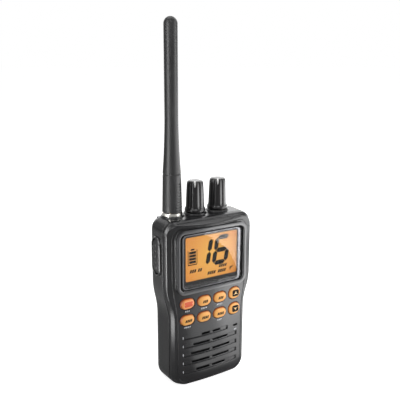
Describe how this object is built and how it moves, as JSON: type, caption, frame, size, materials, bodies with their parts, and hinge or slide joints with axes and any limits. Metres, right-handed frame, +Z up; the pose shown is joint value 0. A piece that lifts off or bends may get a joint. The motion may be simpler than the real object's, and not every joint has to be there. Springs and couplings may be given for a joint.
{
  "type": "handheld vhf marine radio",
  "caption": "Handheld VHF marine radio: waisted moulded housing, rubber whip antenna, two knobs, lit display and keys, side talk button, slotted grille, clip-on battery pack with belt clip.",
  "frame": {"origin": "middle of the housing's flat bottom, on the plane that the radio stands on", "axes": "+Z up along the antenna, front panel facing -Y, +X to the viewer's right"},
  "size_m": [0.0633, 0.0439, 0.22],
  "materials": {
    "housing": "fine moulded texture",
    "trim": "silver-grey satin paint",
    "clear": "clear moulded window",
    "display": "lit segment display",
    "light_guide": "milky",
    "board": "solder resist",
    "tinned": "tinned sheet",
    "amber_rubber": "backlit silicone",
    "red_rubber": "backlit silicone",
    "rubber": "satin",
    "steel": "plain",
    "nickel": "nickel plate",
    "gold": "gold flash",
    "black_gloss": "glossy",
    "white": "moulded in",
    "cloth": "woven",
    "paper": "pressed paper",
    "glass_fibre": "rod",
    "pack_plastic": "fine moulded texture",
    "cell": "wrapped",
    "clip_plastic": "nylon",
    "pot_metal": "cast"
  },
  "bodies": {
    "chassis": {"front_case": "housing", "rear_case": "housing", "case_gasket": "rubber", "display_bezel": "trim", "display_lens": "clear", "display_glass": "display", "display_backlight": "light_guide", "display_frame": "tinned", "main_board": "board", "shield_cans": "tinned", "key_domes": "steel", "keypad_web": "rubber", "speaker_mesh": "cloth", "speaker_frame": "steel", "speaker_cone": "paper", "speaker_magnet": "steel", "microphone": "tinned", "volume_pot": "pot_metal", "squelch_pot": "pot_metal", "pot_nuts": "steel", "knob_seals": "rubber", "antenna_jack": "nickel", "ptt_bezel": "trim", "ptt_switch": "tinned", "accessory_jack": "black_gloss", "latch_spring": "steel", "radio_contacts": "gold", "case_screws": "steel", "strap_lug": "steel"},
    "antenna_feed": {"antenna_pin": "gold"},
    "antenna": {"antenna_plug": "nickel", "antenna_core": "glass_fibre", "antenna_sheath": "rubber"},
    "volume": {"volume_knob": "black_gloss", "volume_shaft": "pot_metal", "volume_pointer": "white"},
    "squelch": {"squelch_knob": "black_gloss", "squelch_shaft": "pot_metal", "squelch_pointer": "white"},
    "ptt": {"ptt_button": "rubber"},
    "cover": {"jack_cover": "rubber"},
    "latch": {"battery_latch": "clip_plastic"},
    "battery_pack": {"battery_case": "pack_plastic", "battery_lid": "pack_plastic", "battery_cells": "cell", "pack_contacts": "gold", "clip_bracket": "clip_plastic", "clip_pin": "steel", "clip_spring": "steel", "clip_screws": "steel"},
    "clip": {"belt_clip": "clip_plastic"},
    "key_red": {"key_red": "red_rubber"},
    "key_top_left": {"key_top_left": "amber_rubber"},
    "key_top_right": {"key_top_right": "amber_rubber"},
    "key_up": {"key_up": "amber_rubber"},
    "key_low_left": {"key_low_left": "amber_rubber"},
    "key_low_middle": {"key_low_middle": "amber_rubber"},
    "key_low_right": {"key_low_right": "amber_rubber"},
    "key_down": {"key_down": "amber_rubber"}
  },
  "joints": [
    {"name": "volume_turn", "type": "hinge", "parent": "chassis", "child": "volume", "pos_m": [-0.0029, -0.002, 0.115], "axis": [0, 0, -1], "range_deg": [0, 300]},
    {"name": "squelch_turn", "type": "hinge", "parent": "chassis", "child": "squelch", "pos_m": [0.0132, -0.002, 0.115], "axis": [0, 0, -1], "range_deg": [0, 300]},
    {"name": "ptt_press", "type": "slide", "parent": "chassis", "child": "ptt", "axis": [1, 0, 0], "range_m": [0, 0.001], "stiffness_N_per_m": 900, "springref_m": -0.0006},
    {"name": "cover_swing", "type": "hinge", "parent": "chassis", "child": "cover", "pos_m": [0.0304, -0.004, 0.0927], "axis": [0, -1, 0], "range_deg": [0, 90]},
    {"name": "pack_tilt", "type": "hinge", "parent": "chassis", "child": "battery_pack", "pos_m": [0, 0.004, 0.0042], "axis": [-1, 0, 0], "range_deg": [0, 4]},
    {"name": "latch_slide", "type": "slide", "parent": "chassis", "child": "latch", "axis": [0, 0, 1], "range_m": [0, 0.0024], "stiffness_N_per_m": 400, "springref_m": -0.002, "deforming": ["latch_spring"]},
    {"name": "clip_open", "type": "hinge", "parent": "battery_pack", "child": "clip", "pos_m": [0, 0.0215, 0.076], "axis": [1, 0, 0], "range_deg": [0, 14], "stiffness_Nm_per_rad": 0.6, "springref_deg": -11.46},
    {"name": "antenna_lift", "type": "slide", "parent": "chassis", "child": "antenna_feed", "axis": [0, 0, 1], "range_m": [0, 0.006]},
    {"name": "antenna_turn", "type": "hinge", "parent": "antenna_feed", "child": "antenna", "pos_m": [-0.0186, -0.002, 0.11], "axis": [0, 0, 1], "range_deg": [0, 3060]},
    {"name": "key_red_press", "type": "slide", "parent": "chassis", "child": "key_red", "axis": [0, 1, 0], "range_m": [0, 0.0006], "stiffness_N_per_m": 600, "springref_m": -0.0006},
    {"name": "key_top_left_press", "type": "slide", "parent": "chassis", "child": "key_top_left", "axis": [0, 1, 0], "range_m": [0, 0.0006], "stiffness_N_per_m": 600, "springref_m": -0.0006},
    {"name": "key_top_right_press", "type": "slide", "parent": "chassis", "child": "key_top_right", "axis": [0, 1, 0], "range_m": [0, 0.0006], "stiffness_N_per_m": 600, "springref_m": -0.0006},
    {"name": "key_up_press", "type": "slide", "parent": "chassis", "child": "key_up", "axis": [0, 1, 0], "range_m": [0, 0.0006], "stiffness_N_per_m": 600, "springref_m": -0.0006},
    {"name": "key_low_left_press", "type": "slide", "parent": "chassis", "child": "key_low_left", "axis": [0, 1, 0], "range_m": [0, 0.0006], "stiffness_N_per_m": 600, "springref_m": -0.0006},
    {"name": "key_low_middle_press", "type": "slide", "parent": "chassis", "child": "key_low_middle", "axis": [0, 1, 0], "range_m": [0, 0.0006], "stiffness_N_per_m": 600, "springref_m": -0.0006},
    {"name": "key_low_right_press", "type": "slide", "parent": "chassis", "child": "key_low_right", "axis": [0, 1, 0], "range_m": [0, 0.0006], "stiffness_N_per_m": 600, "springref_m": -0.0006},
    {"name": "key_down_press", "type": "slide", "parent": "chassis", "child": "key_down", "axis": [0, 1, 0], "range_m": [0, 0.0006], "stiffness_N_per_m": 600, "springref_m": -0.0006}
  ],
  "couplings": [
    {"joint": "latch_slide", "follows": "pack_tilt", "m_per_rad": 0.0336},
    {"joint": "antenna_turn", "follows": "antenna_lift", "rad_per_m": 8904.7}
  ]
}
